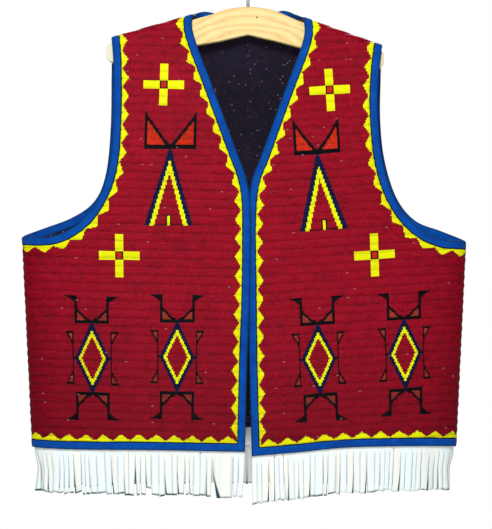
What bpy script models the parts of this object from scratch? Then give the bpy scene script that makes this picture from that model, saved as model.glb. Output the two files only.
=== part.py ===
"""A beaded hide vest, lane stitched and fringed, hung on a flat wooden hanger with a wire hook.

Metres, +Z up. The origin is the inside top of the hook, +X is the viewer's right and -Y faces the viewer.
Each panel is cut flat, in girth (sideways along the cloth) and level (height), and then hung: it curls over the
hanger's shoulder line and bows out to the depth of a flat oval body, whose two ends are the side seams.
"""

import math
from collections import namedtuple

import bmesh
import bpy
from mathutils import Vector

RIGHT, LEFT = -1, 1  # the wearer's sides, as signs of X
FRONT, BACK = -1, 1  # the vest's faces, as signs of Y

# Hang of the vest
VEST_CENTRE = -0.005
RIDGE_TOP = -0.0655  # the shoulder line's inside, at the neck
CURL = 0.0095  # inside radius of the fold over the hanger
NECK_STAND, NECK_STAND_RUN = 0.065, 0.014  # the back stands up behind the hanger inside this half width
CHEST = 0.2865  # half width at the underarm, inside the wall
TAPER = 0.0135  # how much narrower each half is at the hem
UNDERARM, HEM = -0.360, -0.640
SPREAD = 0.20  # the way down over which the fold opens to full depth
DEPTH = {(FRONT, RIGHT): 0.0425, (FRONT, LEFT): 0.038, (BACK, RIGHT): 0.038, (BACK, LEFT): 0.038}
Shoulder = namedtuple("Shoulder", "inner neck tip fall")
SHOULDER = {
    RIGHT: Shoulder(inner=0.040, neck=0.065, tip=0.172, fall=0.283),
    LEFT: Shoulder(inner=0.046, neck=0.076, tip=0.179, fall=0.356),
}

# Walls, seams and trim
HIDE = 0.0014
LANE = 0.011  # one lane of beads
LANE_FOOT, LANE_RISE = 0.0003, 0.0013
LANE_TILT = {RIGHT: 0.021, LEFT: 0.058}
SEAM = 0.0004
BINDING, BINDING_THICK, BINDING_ROUND = 0.011, 0.0026, 0.0007
BINDING_INSIDE = -0.0002
LINING_OUTSIDE, LINING_THICK = -0.0006, 0.001
FRINGE_PITCH, FRINGE_SLIT = 0.0071, 0.0013
FRINGE_OUTSIDE, FRINGE_THICK = -0.0010, 0.0011
FRINGE_SEWN, FRINGE_UNCUT = 0.008, 0.010  # above and below the hem's edge

# Fold lines of the flat panels
COLUMN_OUTS = (0.0, 0.050, 0.100, 0.140)
COLUMN_ANGLES = (30, 42, 53, 63, 72, 81)
INSIDE_LANES = 2
CURL_STEPS = (0.005, 0.0085, 0.012, 0.0155, 0.019)

# Edges: out from the centre line, down from the hook
Edge = namedtuple("Edge", "out down")
ARMHOLE = {
    (FRONT, RIGHT): (
        Edge(0.169, 0.135), Edge(0.168, 0.207), Edge(0.172, 0.267), Edge(0.185, 0.307),
        Edge(0.209, 0.340), Edge(0.245, 0.359), Edge(CHEST, 0.360),
    ),
    (FRONT, LEFT): (
        Edge(0.174, 0.150), Edge(0.172, 0.200), Edge(0.177, 0.260), Edge(0.191, 0.306),
        Edge(0.216, 0.342), Edge(0.250, 0.362), Edge(CHEST, 0.366),
    ),
    (BACK, RIGHT): (
        Edge(0.173, 0.150), Edge(0.175, 0.219), Edge(0.182, 0.278), Edge(0.197, 0.313),
        Edge(0.225, 0.334), Edge(0.260, 0.348), Edge(CHEST, 0.360),
    ),
    (BACK, LEFT): (
        Edge(0.178, 0.155), Edge(0.178, 0.206), Edge(0.184, 0.258), Edge(0.200, 0.308),
        Edge(0.224, 0.338), Edge(0.257, 0.352), Edge(CHEST, 0.366),
    ),
}
NECK_TO_HEM = {
    RIGHT: (
        Edge(0.0665, 0.095), Edge(0.041, 0.166), Edge(0.012, 0.245), Edge(-0.003, 0.287),
        Edge(-0.008, 0.330), Edge(-0.007, 0.441), Edge(-0.004, 0.520), Edge(-0.001, 0.635),
    ),
    LEFT: (
        Edge(0.077, 0.104), Edge(0.052, 0.173), Edge(0.024, 0.251), Edge(0.009, 0.292),
        Edge(0.0045, 0.345), Edge(0.0055, 0.420), Edge(0.007, 0.520), Edge(0.0105, 0.641),
    ),
}
HEM_FRONT = {
    RIGHT: (Edge(0.121, 0.633), Edge(0.230, 0.633), Edge(CHEST, 0.632)),
    LEFT: (Edge(0.072, 0.636), Edge(0.140, 0.630), Edge(0.230, 0.629), Edge(CHEST, 0.631)),
}
HEM_BACK = (Edge(0.0, 0.630), Edge(0.15, 0.630), Edge(CHEST, 0.632))
# The back's neck: out from the centre line, down the cloth from the shoulder line
NECK_BACK = (Edge(0.055, 0.0015), Edge(0.043, 0.006), Edge(0.022, 0.013), Edge(0.0, 0.015))
STATION, SIDE_STATION = 0.028, 0.0056  # spacing of an edge's points along a panel, and round its side

# Strands: mean length below the uncut strip at the centre and at the side
Strands = namedtuple("Strands", "centre side")
STRANDS = {
    (FRONT, RIGHT): Strands(0.049, 0.048), (FRONT, LEFT): Strands(0.052, 0.049),
    (BACK, RIGHT): Strands(0.047, 0.048), (BACK, LEFT): Strands(0.047, 0.048),
}
STRAND_UNEVEN, STRAND_SWAY = 0.0035, 0.0012

# Hanger
BOARD_HALF, BOARD_ROUND = 0.0065, 0.001
BOARD_END, BOARD_END_ROUND = {RIGHT: 0.184, LEFT: 0.1765}, 0.010
BOARD_CREST, BOARD_CREST_OUT = -0.0615, 0.046
BOARD_HEIGHT, BOARD_MIDDLE_HEIGHT = 0.027, 0.036
BOARD_SEAT = 0.0052  # the board's top below the shoulder line's inside
WIRE, HOOK_INSIDE, HOOK_END = 0.002, 0.015, 212
HOOK_SHANK, HOOK_STEM = -0.040, 0.012
HOLE_CLEARANCE = 0.0004

Finish = namedtuple("Finish", "colour roughness metallic")
FINISHES = {
    "beadwork": Finish((0.30, 0.012, 0.025), 0.35, 0.0),
    "binding_cloth": Finish((0.004, 0.065, 0.40), 0.85, 0.0),
    "lining_cloth": Finish((0.02, 0.013, 0.045), 0.9, 0.0),
    "fringe_hide": Finish((0.76, 0.83, 0.84), 0.8, 0.0),
    "hanger_wood": Finish((0.85, 0.68, 0.38), 0.55, 0.0),
    "hook_wire": Finish((0.50, 0.51, 0.53), 0.3, 1.0),
}


def clamp(value, low=0.0, high=1.0):
    return min(max(value, low), high)


def ease(value):
    part = clamp(value)
    return part * part * (3 - 2 * part)


def measure_oval(last_angle=100, step=0.25):
    """Angles round a quarter of the oval section, with the share of its width and the girth at each."""
    angles, shares, girths = [0.0], [0.0], [0.0]
    depth = DEPTH[BACK, LEFT]
    for index in range(1, int(last_angle / step) + 1):
        angle = math.radians(index * step)
        share = math.sin(angle) ** (2 / 3)
        run = CHEST * (share - shares[-1])
        rise = depth * (math.cos(angle) - math.cos(angles[-1]))
        angles.append(angle)
        shares.append(share)
        girths.append(girths[-1] + math.hypot(run, rise))
    return angles, shares, girths


OVAL_ANGLES, OVAL_SHARES, OVAL_GIRTHS = measure_oval()


def look_up(value, keys, results):
    """The result that belongs to a value between two rising keys."""
    low, high = 0, len(keys) - 1
    while high - low > 1:
        middle = (low + high) // 2
        if keys[middle] <= value:
            low = middle
        else:
            high = middle
    part = (value - keys[low]) / (keys[high] - keys[low])
    return results[low] + part * (results[high] - results[low])


SIDE_GIRTH = look_up(math.pi / 2, OVAL_ANGLES, OVAL_GIRTHS)
QUARTER = OVAL_ANGLES.index(look_up(math.pi / 2, OVAL_ANGLES, OVAL_ANGLES))


def girth_at(out):
    """The girth from the centre line to a point that far out, at the chest."""
    share = clamp(abs(out) / CHEST)
    girth = look_up(share, OVAL_SHARES[:QUARTER + 1], OVAL_GIRTHS[:QUARTER + 1])
    return math.copysign(girth, out)


def side_of(girth):
    return LEFT if girth > 0 else RIGHT


def ridge(girth):
    """Height of the shoulder line, along the inside of the wall."""
    shoulder = SHOULDER[side_of(girth)]
    out = CHEST * look_up(min(abs(girth), SIDE_GIRTH), OVAL_GIRTHS, OVAL_SHARES)
    return RIDGE_TOP - shoulder.fall * max(0.0, out - shoulder.inner)


def half_width(level):
    return CHEST - TAPER * clamp((UNDERARM - level) / (UNDERARM - HEM))


def hang(girth, level, face, panel_side=None):
    """The place on the hung wall's inside of a point of the flat panel."""
    angle = look_up(abs(girth), OVAL_GIRTHS, OVAL_ANGLES)
    share = look_up(abs(girth), OVAL_GIRTHS, OVAL_SHARES)
    top = ridge(girth)
    down = top - level
    turn = min(down / CURL, math.pi / 2)
    opened = ease(down / SPREAD)
    depth = DEPTH[face, panel_side or side_of(girth)]
    stand = ease((NECK_STAND - CHEST * share) / NECK_STAND_RUN) if face == BACK else 0.0
    fold = CURL * (math.sin(turn) * (1 - stand) + stand)
    curled = top - CURL * (1 - math.cos(turn)) - max(0.0, down - CURL * math.pi / 2)
    upright = level + CURL * (math.pi / 2 - 1)
    x = VEST_CENTRE + math.copysign(half_width(level) * share, girth)
    y = fold * (1 - opened) + depth * math.cos(angle) * opened
    return Vector((x, face * y, curled * (1 - stand) + upright * stand))


def hang_off(girth, level, lift, face, panel_side=None):
    """The same place, lifted off the inside along the wall's normal."""
    reach = 0.0004
    across = hang(girth + reach, level, face, panel_side) - hang(girth - reach, level, face, panel_side)
    up = hang(girth, level + reach, face, panel_side) - hang(girth, level - reach, face, panel_side)
    normal = across.cross(up).normalized() * -face
    return hang(girth, level, face, panel_side) + normal * lift


def flat(edge, side):
    """An edge's row as a flat point, girth and level, from where it shows on the hung vest."""
    girth = side * girth_at(edge.out)
    drop = ridge(girth) + edge.down
    arc = CURL * math.acos(clamp(1 - drop / CURL))
    level = ridge(girth) - arc - max(0.0, drop - CURL)
    return Vector((girth, level))


def shoulder_point(out, side):
    girth = side * girth_at(out)
    return Vector((girth, ridge(girth) - SEAM / 2))


def at_side_seam(point):
    """The point moved to half a seam short of the side."""
    return Vector((math.copysign(SIDE_GIRTH - SEAM / 2, point.x), point.y))


def smooth_curve(points, per_span=12):
    """A Catmull-Rom curve through the points."""
    ends = [points[0] * 2 - points[1], *points, points[-1] * 2 - points[-2]]
    curve = []
    for before, start, end, after in zip(ends, ends[1:], ends[2:], ends[3:]):
        for index in range(per_span):
            part = index / per_span
            pull = (end - before) * 0.5 * (part - 2 * part**2 + part**3)
            push = (after - start) * 0.5 * (part**3 - part**2)
            curve.append(start * (1 - ease(part)) + end * ease(part) + pull + push)
    return curve + [points[-1]]


def walk(curve, marks):
    """The points of a curve at the marked lengths along it."""
    lengths = [0.0]
    for start, end in zip(curve, curve[1:]):
        lengths.append(lengths[-1] + (end - start).length)
    xs = [point.x for point in curve]
    ys = [point.y for point in curve]
    walked = []
    for mark in marks:
        place = min(mark, lengths[-1])
        walked.append(Vector((look_up(place, lengths, xs), look_up(place, lengths, ys))))
    return walked


def curve_length(curve):
    return sum((end - start).length for start, end in zip(curve, curve[1:]))


def space_out(curve, from_shoulder=False, to_shoulder=False, to_side=False, from_side=False):
    """Points along an edge, closer where it goes over the shoulder or round the side."""
    total = curve_length(curve)
    side_run = 0.050
    first = list(CURL_STEPS) if from_shoulder else []
    last = [total - step for step in reversed(CURL_STEPS)] if to_shoulder else []
    steps = int(side_run / SIDE_STATION)
    if to_side:
        last = [total - SIDE_STATION * index for index in range(steps, 0, -1)]
    if from_side:
        first = [SIDE_STATION * index for index in range(1, steps + 1)]
    start = first[-1] if first else 0.0
    end = last[0] if last else total
    count = max(1, round((end - start) / STATION))
    middle = [start + (end - start) * index / count for index in range(1, count)]
    return walk(curve, [0.0, *first, *middle, *last, total])


def inset(points, width, inward, start_way=None, end_way=None):
    """The line that runs a width inside an edge. Its ends slide along the seams that cut them."""
    inner = []
    for index, point in enumerate(points):
        ways = []
        if index:
            ways.append((point - points[index - 1]).normalized())
        if index < len(points) - 1:
            ways.append((points[index + 1] - point).normalized())
        along = sum(ways, Vector((0.0, 0.0))).normalized()
        normal = Vector((-along.y, along.x)) * inward
        way = normal
        if index == 0 and start_way:
            way = start_way.normalized()
        elif index == len(points) - 1 and end_way:
            way = end_way.normalized()
        reach = width / way.dot(normal)
        if len(ways) == 2:
            reach = width / math.sqrt(max(0.2, (1 + ways[0].dot(ways[1])) / 2))
        inner.append(point + way * reach)
    return inner


def shoulder_way(side, inwards):
    """The direction of the shoulder line on the flat panel, towards the neck or away from it."""
    shoulder = SHOULDER[side]
    neck, tip = shoulder_point(shoulder.neck, side), shoulder_point(shoulder.tip, side)
    return neck - tip if inwards else tip - neck


def armhole_edge(face, side):
    shoulder = SHOULDER[side]
    rows = [shoulder_point(shoulder.tip, side), *(flat(edge, side) for edge in ARMHOLE[face, side])]
    rows[-1] = at_side_seam(rows[-1])
    return space_out(smooth_curve(rows), from_shoulder=True, to_side=True)


def armhole_inset(face, side, width):
    ways = {"start_way": shoulder_way(side, True), "end_way": Vector((0, -1))}
    return inset(armhole_edge(face, side), width, -side, **ways)


def opening_edge(side):
    """A front's edge down the neck and the front, round the corner and along the hem to the side."""
    shoulder = SHOULDER[side]
    rows = [shoulder_point(shoulder.neck, side), *(flat(edge, side) for edge in NECK_TO_HEM[side])]
    down = space_out(smooth_curve(rows), from_shoulder=True)
    hem = [rows[-1], *(flat(edge, side) for edge in HEM_FRONT[side])]
    hem[-1] = at_side_seam(hem[-1])
    return down + space_out(smooth_curve(hem), to_side=True)[1:]


def opening_inset(side, width):
    ways = {"start_way": shoulder_way(side, False), "end_way": Vector((0, 1))}
    inner = inset(opening_edge(side), width, side, **ways)
    for index, step in enumerate(CURL_STEPS):
        point = inner[index + 1]
        point.y = min(point.y, ridge(point.x) - step / 2)
    return inner


def neck_edge_back():
    """The back's neck edge, from the right shoulder to the left one."""
    rows = []
    for side, edges in ((RIGHT, NECK_BACK), (LEFT, NECK_BACK[-2::-1])):
        points = [shoulder_point(edge.out, side) - Vector((0, edge.down)) for edge in edges]
        corner = shoulder_point(SHOULDER[side].neck, side)
        rows += [corner, *points] if side == RIGHT else [*points, corner]
    curve = smooth_curve(rows)
    count = round(curve_length(curve) / 0.007)
    return walk(curve, [curve_length(curve) * index / count for index in range(count + 1)])


def neck_inset_back(width):
    return inset(neck_edge_back(), width, -1)


def hem_edge_back():
    """The back's hem edge, from the right side seam to the left one."""
    rows = [flat(edge, RIGHT) for edge in reversed(HEM_BACK)]
    rows += [flat(edge, LEFT) for edge in HEM_BACK[1:]]
    rows[0], rows[-1] = at_side_seam(rows[0]), at_side_seam(rows[-1])
    return space_out(smooth_curve(rows), from_side=True, to_side=True)


def hem_inset_back(width):
    return inset(hem_edge_back(), width, 1, start_way=Vector((0, 1)), end_way=Vector((0, 1)))


def front_outline(side, width):
    """A front's outline, with the bound edges set in by a width."""
    return armhole_inset(FRONT, side, width) + opening_inset(side, width)[::-1]


def back_outline(width):
    outline = neck_inset_back(width)
    gap = width - BINDING
    outline[0].x -= gap
    outline[-1].x += gap
    outline.append(shoulder_point(SHOULDER[LEFT].neck + gap, LEFT))
    outline += armhole_inset(BACK, LEFT, width)
    outline += hem_inset_back(width)[::-1]
    outline += armhole_inset(BACK, RIGHT, width)[::-1]
    outline.append(shoulder_point(SHOULDER[RIGHT].neck + gap, RIGHT))
    return outline


def score(bm, faces, point, normal):
    """Cuts these faces along a line of the flat panel."""
    edges = {edge for face in faces for edge in face.edges}
    verts = {vert for face in faces for vert in face.verts}
    bmesh.ops.bisect_plane(
        bm, geom=[*faces, *edges, *verts], dist=0.00004,
        plane_co=(point.x, point.y, 0), plane_no=(normal.x, normal.y, 0),
    )


def flat_slab(outline, thickness):
    """A closed slab in girth, level and lift, over one outline."""
    bm = bmesh.new()
    base = bm.faces.new([bm.verts.new((point.x, point.y, 0)) for point in outline])
    bmesh.ops.recalc_face_normals(bm, faces=[base])
    if base.normal.z > 0:
        base.normal_flip()
    grown = bmesh.ops.extrude_face_region(bm, geom=[base], use_keep_orig=True)["geom"]
    bmesh.ops.translate(bm, verts=[item for item in grown if isinstance(item, bmesh.types.BMVert)],
                        vec=(0, 0, thickness))
    bmesh.ops.recalc_face_normals(bm, faces=bm.faces)
    return bm


def column_girths():
    angles = [look_up(math.radians(angle), OVAL_ANGLES, OVAL_GIRTHS) for angle in COLUMN_ANGLES]
    columns = [girth_at(out) for out in COLUMN_OUTS] + angles
    return [-girth for girth in reversed(columns[1:])] + columns


def score_columns(bm):
    for girth in column_girths():
        score(bm, bm.faces[:], Vector((girth, 0)), Vector((1, 0)))


def score_rows(bm, wanted, tilt, spacing, lowest=HEM):
    """Rows that follow the lanes, cut only into the faces that are wanted."""
    levels = [max(lowest, vert.co.y - tilt * abs(vert.co.x)) for vert in bm.verts]
    first, last = math.ceil(min(levels) / spacing), math.floor(max(levels) / spacing)
    side = side_of(sum(vert.co.x for vert in bm.verts))
    for index in range(first, last + 1):
        faces = [face for face in bm.faces if wanted(face)]
        score(bm, faces, Vector((0, index * spacing)), Vector((-tilt * side, 1)))


def score_curl(bm):
    """Lines beside the shoulder, where the panel curls over the hanger."""
    for side, shoulder in SHOULDER.items():
        start = side * girth_at(shoulder.inner)
        line = shoulder_way(side, True)
        normal = Vector((-line.y, line.x))
        for step in CURL_STEPS:
            outer = [face for face in bm.faces if side * face.calc_center_median().x > abs(start)]
            along = shoulder_point(shoulder.neck, side) + Vector((0, -step * 1.05))
            score(bm, outer, along, normal)
            inner = [face for face in bm.faces if 0 < side * face.calc_center_median().x <= abs(start)]
            score(bm, inner, Vector((0, RIDGE_TOP - step)), Vector((0, 1)))


def lane_lift(level, tilt, girth):
    """How far the beads stand off the hide, by the place across their lane."""
    across = ((level - tilt * abs(girth)) / LANE) % 1.0
    return LANE_FOOT + LANE_RISE * (1 - abs(2 * across - 1))


def face_outwards(bm):
    bmesh.ops.recalc_face_normals(bm, faces=bm.faces)
    if bm.calc_volume(signed=True) < 0:
        bmesh.ops.reverse_faces(bm, faces=bm.faces)


def finish(name):
    material = bpy.data.materials.new(name)
    material.use_nodes = True
    shader = material.node_tree.nodes["Principled BSDF"]
    shader.inputs["Base Color"].default_value = (*FINISHES[name].colour, 1)
    shader.inputs["Roughness"].default_value = FINISHES[name].roughness
    shader.inputs["Metallic"].default_value = FINISHES[name].metallic
    material.diffuse_color = (*FINISHES[name].colour, 1)
    return material


def add_piece(collection, name, bm, material, sharp=40):
    mesh = bpy.data.meshes.new(name)
    bm.to_mesh(mesh)
    bm.free()
    mesh.materials.append(material)
    mesh.shade_smooth()
    mesh.set_sharp_from_angle(angle=math.radians(sharp))
    piece = bpy.data.objects.new(name, mesh)
    collection.objects.link(piece)
    return piece


def hang_mesh(bm, face, panel_side=None):
    """Hangs a flat piece whose vertices are girth, level and lift."""
    bmesh.ops.triangulate(bm, faces=bm.faces, quad_method="BEAUTY", ngon_method="BEAUTY")
    for vert in bm.verts:
        vert.co = hang_off(vert.co.x, vert.co.y, vert.co.z, face, panel_side)
    face_outwards(bm)


def make_panel(outline, face, panel_side=None):
    """A hide panel with its lanes raised on the outside and a plain inside."""
    bm = flat_slab(outline, HIDE)
    tilt = LANE_TILT[panel_side] if face == FRONT else 0.0
    score_columns(bm)
    score_curl(bm)
    score_rows(bm, lambda cell: abs(cell.normal.z) > 0.5, tilt, INSIDE_LANES * LANE, UNDERARM)
    score_rows(bm, lambda cell: cell.normal.z > 0.5, tilt, LANE / 2)
    bmesh.ops.triangulate(bm, faces=bm.faces, quad_method="BEAUTY", ngon_method="BEAUTY")
    for vert in bm.verts:
        if vert.co.z > HIDE / 2:
            vert.co.z = HIDE + lane_lift(vert.co.y, tilt, vert.co.x)
    hang_mesh(bm, face, panel_side)
    return bm


def make_lining():
    bm = flat_slab(back_outline(BINDING + 2 * SEAM), LINING_THICK)
    bmesh.ops.translate(bm, verts=bm.verts, vec=(0, 0, LINING_OUTSIDE - LINING_THICK))
    score_columns(bm)
    score_curl(bm)
    score_rows(bm, lambda cell: abs(cell.normal.z) > 0.5, 0.0, INSIDE_LANES * LANE, UNDERARM)
    hang_mesh(bm, BACK)
    return bm


def binding_section():
    """Points across a binding strip: the share of its width from the edge, and the lift."""
    low, high = BINDING_INSIDE, BINDING_INSIDE + BINDING_THICK
    soft = BINDING_ROUND / BINDING
    return ((0.0, low + BINDING_ROUND), (0.0, high - BINDING_ROUND), (soft, high), (1.0, high),
            (1.0, low), (soft, low))


def make_binding(edge, inner, face, panel_side=None):
    """A strip of folded cloth that finishes an edge, lofted from its outer line to its inner one."""
    bm = bmesh.new()
    rings = []
    for outer_point, inner_point in zip(edge, inner):
        ring = []
        for share, lift in binding_section():
            place = outer_point.lerp(inner_point, share)
            ring.append(bm.verts.new(hang_off(place.x, place.y, lift, face, panel_side)))
        rings.append(ring)
    for ring, following in zip(rings, rings[1:]):
        for index in range(len(ring)):
            after = (index + 1) % len(ring)
            bm.faces.new((ring[index], ring[after], following[after], following[index]))
    bm.faces.new(rings[0][::-1])
    bm.faces.new(rings[-1])
    bmesh.ops.triangulate(bm, faces=bm.faces)
    face_outwards(bm)
    return bm


def unevenness(index, seed):
    """A fixed uneven number between -1 and 1 for each strand."""
    return math.sin(index * 12.9898 + seed * 4.137) * math.cos(index * 3.713 + seed)


def make_fringe(hem, strands, seed, face, panel_side=None):
    """A comb of cut hide: a strip sewn inside the hem, and the strands cut below it."""
    total = curve_length(hem)
    count = round((total - FRINGE_SLIT) / FRINGE_PITCH)
    pitch = (total - FRINGE_SLIT) / count
    marks = [FRINGE_SLIT / 2]
    for index in range(count):
        marks += [(index + 1) * pitch - FRINGE_SLIT / 2, (index + 1) * pitch + FRINGE_SLIT / 2]
    marks = marks[:-1]
    places = walk(hem, marks)
    bm = bmesh.new()
    bmesh.ops.create_grid(bm, x_segments=len(marks) - 1, y_segments=1, size=1)
    for vert in bm.verts:
        place = places[round((vert.co.x + 1) / 2 * (len(marks) - 1))]
        edge_down = FRINGE_SEWN if vert.co.y > 0 else -FRINGE_UNCUT
        vert.co = (place.x, place.y + edge_down, FRINGE_OUTSIDE - FRINGE_THICK)
    grown = bmesh.ops.extrude_face_region(bm, geom=bm.faces[:], use_keep_orig=True)["geom"]
    bmesh.ops.translate(bm, verts=[item for item in grown if isinstance(item, bmesh.types.BMVert)],
                        vec=(0, 0, FRINGE_THICK))
    bmesh.ops.recalc_face_normals(bm, faces=bm.faces)
    bottoms = [cell for cell in bm.faces if cell.normal.y < -0.5]
    roots = [cell for cell in bottoms if cell.calc_area() > FRINGE_THICK * pitch / 2]
    for index, root in enumerate(sorted(roots, key=lambda cell: cell.calc_center_median().x)):
        middle = root.calc_center_median().x
        part = clamp(abs(middle) / SIDE_GIRTH)
        length = strands[side_of(middle)].centre * (1 - part) + strands[side_of(middle)].side * part
        length += STRAND_UNEVEN * unevenness(index, seed)
        sway = STRAND_SWAY * unevenness(index, seed + 7)
        tip = bmesh.ops.extrude_discrete_faces(bm, faces=[root])["faces"][0]
        for vert in tip.verts:
            vert.co.x += sway - (vert.co.x - middle) * 0.12
            vert.co.y -= length
    hang_mesh(bm, face, panel_side)
    return bm


def board_line():
    """The board's top line, outward to each end, and its underside back again."""
    top = []
    for side in (RIGHT, LEFT):
        line = [(side * share * BOARD_CREST_OUT, BOARD_CREST - 0.0095 * share**2.2) for share in (0.3, 0.6, 0.8, 1)]
        for part in (0.15, 0.5, 1):
            x = side * (BOARD_CREST_OUT + part * (BOARD_END[side] - BOARD_END_ROUND - BOARD_CREST_OUT))
            line.append((x, board_top(x)))
        top.append(line)
    right, left = top
    rounded = [end_arc(RIGHT)[::-1], end_arc(LEFT)]
    outline = rounded[0] + right[::-1][1:] + [(0.0, BOARD_CREST)] + left[:-1] + rounded[1]
    arch = []
    for part in range(-4, 5):
        x = part / 4 * 0.15
        height = BOARD_HEIGHT + (BOARD_MIDDLE_HEIGHT - BOARD_HEIGHT) * (1 - (part / 4) ** 2)
        under = BOARD_CREST if abs(x) < BOARD_CREST_OUT / 2 else board_top(x)
        arch.append((x, under - height))
    return outline + arch[::-1]


def board_top(x):
    """The board's arm under the shoulder of the vest."""
    girth = math.copysign(girth_at(abs(x - VEST_CENTRE)), x)
    return ridge(girth) - BOARD_SEAT


def end_arc(side):
    """The rounded end of an arm, from its top line to its underside."""
    points = []
    x = side * (BOARD_END[side] - BOARD_END_ROUND)
    top = board_top(x)
    for angle in (90, 55, 20, -20, -55, -90):
        turn = math.radians(angle)
        drop = 0 if angle > 0 else BOARD_HEIGHT - 2 * BOARD_END_ROUND
        centre = top - BOARD_END_ROUND - drop
        points.append((x + side * BOARD_END_ROUND * math.cos(turn), centre + BOARD_END_ROUND * math.sin(turn)))
    return points


def make_board():
    bm = bmesh.new()
    base = bm.faces.new([bm.verts.new((x, -BOARD_HALF, z)) for x, z in board_line()])
    grown = bmesh.ops.extrude_face_region(bm, geom=[base], use_keep_orig=True)["geom"]
    bmesh.ops.translate(bm, verts=[item for item in grown if isinstance(item, bmesh.types.BMVert)],
                        vec=(0, 2 * BOARD_HALF, 0))
    rims = [edge for edge in bm.edges if abs(edge.verts[0].co.y - edge.verts[1].co.y) < BOARD_HALF]
    bmesh.ops.bevel(bm, geom=rims, offset=BOARD_ROUND, segments=1, profile=0.5, affect="EDGES")
    face_outwards(bm)
    return bm


def hook_route():
    """The wire from its hole in the board, up the shank and round the hook."""
    radius = HOOK_INSIDE + WIRE
    centre = Vector((0, 0, -HOOK_INSIDE))
    route = [Vector((0, 0, BOARD_CREST - HOOK_STEM)), Vector((0, 0, BOARD_CREST)), Vector((0, 0, HOOK_SHANK))]
    route.append(Vector((0.0035, 0, -HOOK_INSIDE - radius + 0.0005)))
    for index in range(17):
        turn = math.radians(-58 + (HOOK_END + 58) * index / 16)
        route.append(centre + Vector((radius * math.cos(turn), 0, radius * math.sin(turn))))
    return route


def add_hook(collection, material):
    curve = bpy.data.curves.new("hanger_hook", "CURVE")
    curve.dimensions = "3D"
    curve.bevel_depth = WIRE
    curve.bevel_resolution = 2
    curve.use_fill_caps = True
    route = hook_route()
    spline = curve.splines.new("POLY")
    spline.points.add(len(route) - 1)
    for place, point in zip(route, spline.points):
        point.co = (*place, 1)
        point.radius = 1
    curve.materials.append(material)
    hook = bpy.data.objects.new("hanger_hook", curve)
    collection.objects.link(hook)


def drill_board(board, cutters):
    """The hole that takes the hook's stem."""
    bm = bmesh.new()
    reach = HOOK_STEM + HOLE_CLEARANCE
    bmesh.ops.create_cone(bm, cap_ends=True, segments=12, radius1=WIRE + HOLE_CLEARANCE,
                          radius2=WIRE + HOLE_CLEARANCE, depth=2 * reach)
    mesh = bpy.data.meshes.new("stem_hole")
    bm.to_mesh(mesh)
    bm.free()
    cutter = bpy.data.objects.new("stem_hole", mesh)
    cutter.location = (0, 0, BOARD_CREST)
    cutter.hide_render = True
    cutter.display_type = "WIRE"
    cutters.objects.link(cutter)
    cut = board.modifiers.new("stem_hole", "BOOLEAN")
    cut.operation = "DIFFERENCE"
    cut.solver = "EXACT"
    cut.object = cutter


def add_bindings(collection, cloth):
    edges = {"binding_neck_back": (neck_edge_back(), neck_inset_back(BINDING), BACK, None),
             "binding_hem_back": (hem_edge_back(), hem_inset_back(BINDING), BACK, None)}
    for side, word in ((RIGHT, "right"), (LEFT, "left")):
        edges[f"binding_front_{word}"] = (opening_edge(side), opening_inset(side, BINDING), FRONT, side)
        for face, place in ((FRONT, "front"), (BACK, "back")):
            strip = armhole_edge(face, side), armhole_inset(face, side, BINDING)
            edges[f"binding_armhole_{place}_{word}"] = (*strip, face, side)
    for name, (edge, inner, face, side) in edges.items():
        add_piece(collection, name, make_binding(edge, inner, face, side), cloth)


def add_fringes(collection, hide):
    for side, word in ((RIGHT, "right"), (LEFT, "left")):
        hem = [flat(NECK_TO_HEM[side][-1], side)] + [flat(edge, side) for edge in HEM_FRONT[side]]
        hem[-1] = at_side_seam(hem[-1])
        strands = {either: STRANDS[FRONT, side] for either in (RIGHT, LEFT)}
        bm = make_fringe(smooth_curve(hem), strands, 3 + side, FRONT, side)
        add_piece(collection, f"fringe_front_{word}", bm, hide)
    strands = {side: STRANDS[BACK, side] for side in (RIGHT, LEFT)}
    bm = make_fringe(hem_edge_back(), strands, 9, BACK)
    add_piece(collection, "fringe_back", bm, hide)


def main():
    for old in list(bpy.data.objects):
        bpy.data.objects.remove(old, do_unlink=True)
    collection = bpy.data.collections.new("beaded_vest_on_hanger")
    cutters = bpy.data.collections.new("cutters")
    for group in (collection, cutters):
        bpy.context.scene.collection.children.link(group)
    materials = {name: finish(name) for name in FINISHES}

    reach = BINDING + SEAM
    beads = materials["beadwork"]
    for side, word in ((RIGHT, "right"), (LEFT, "left")):
        bm = make_panel(front_outline(side, reach), FRONT, side)
        add_piece(collection, f"front_{word}", bm, beads, sharp=20)
    add_piece(collection, "back", make_panel(back_outline(reach), BACK), beads, sharp=20)
    add_piece(collection, "lining_back", make_lining(), materials["lining_cloth"])
    add_bindings(collection, materials["binding_cloth"])
    add_fringes(collection, materials["fringe_hide"])
    board = add_piece(collection, "hanger_board", make_board(), materials["hanger_wood"])
    drill_board(board, cutters)
    add_hook(collection, materials["hook_wire"])


main()
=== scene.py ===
import math

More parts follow.
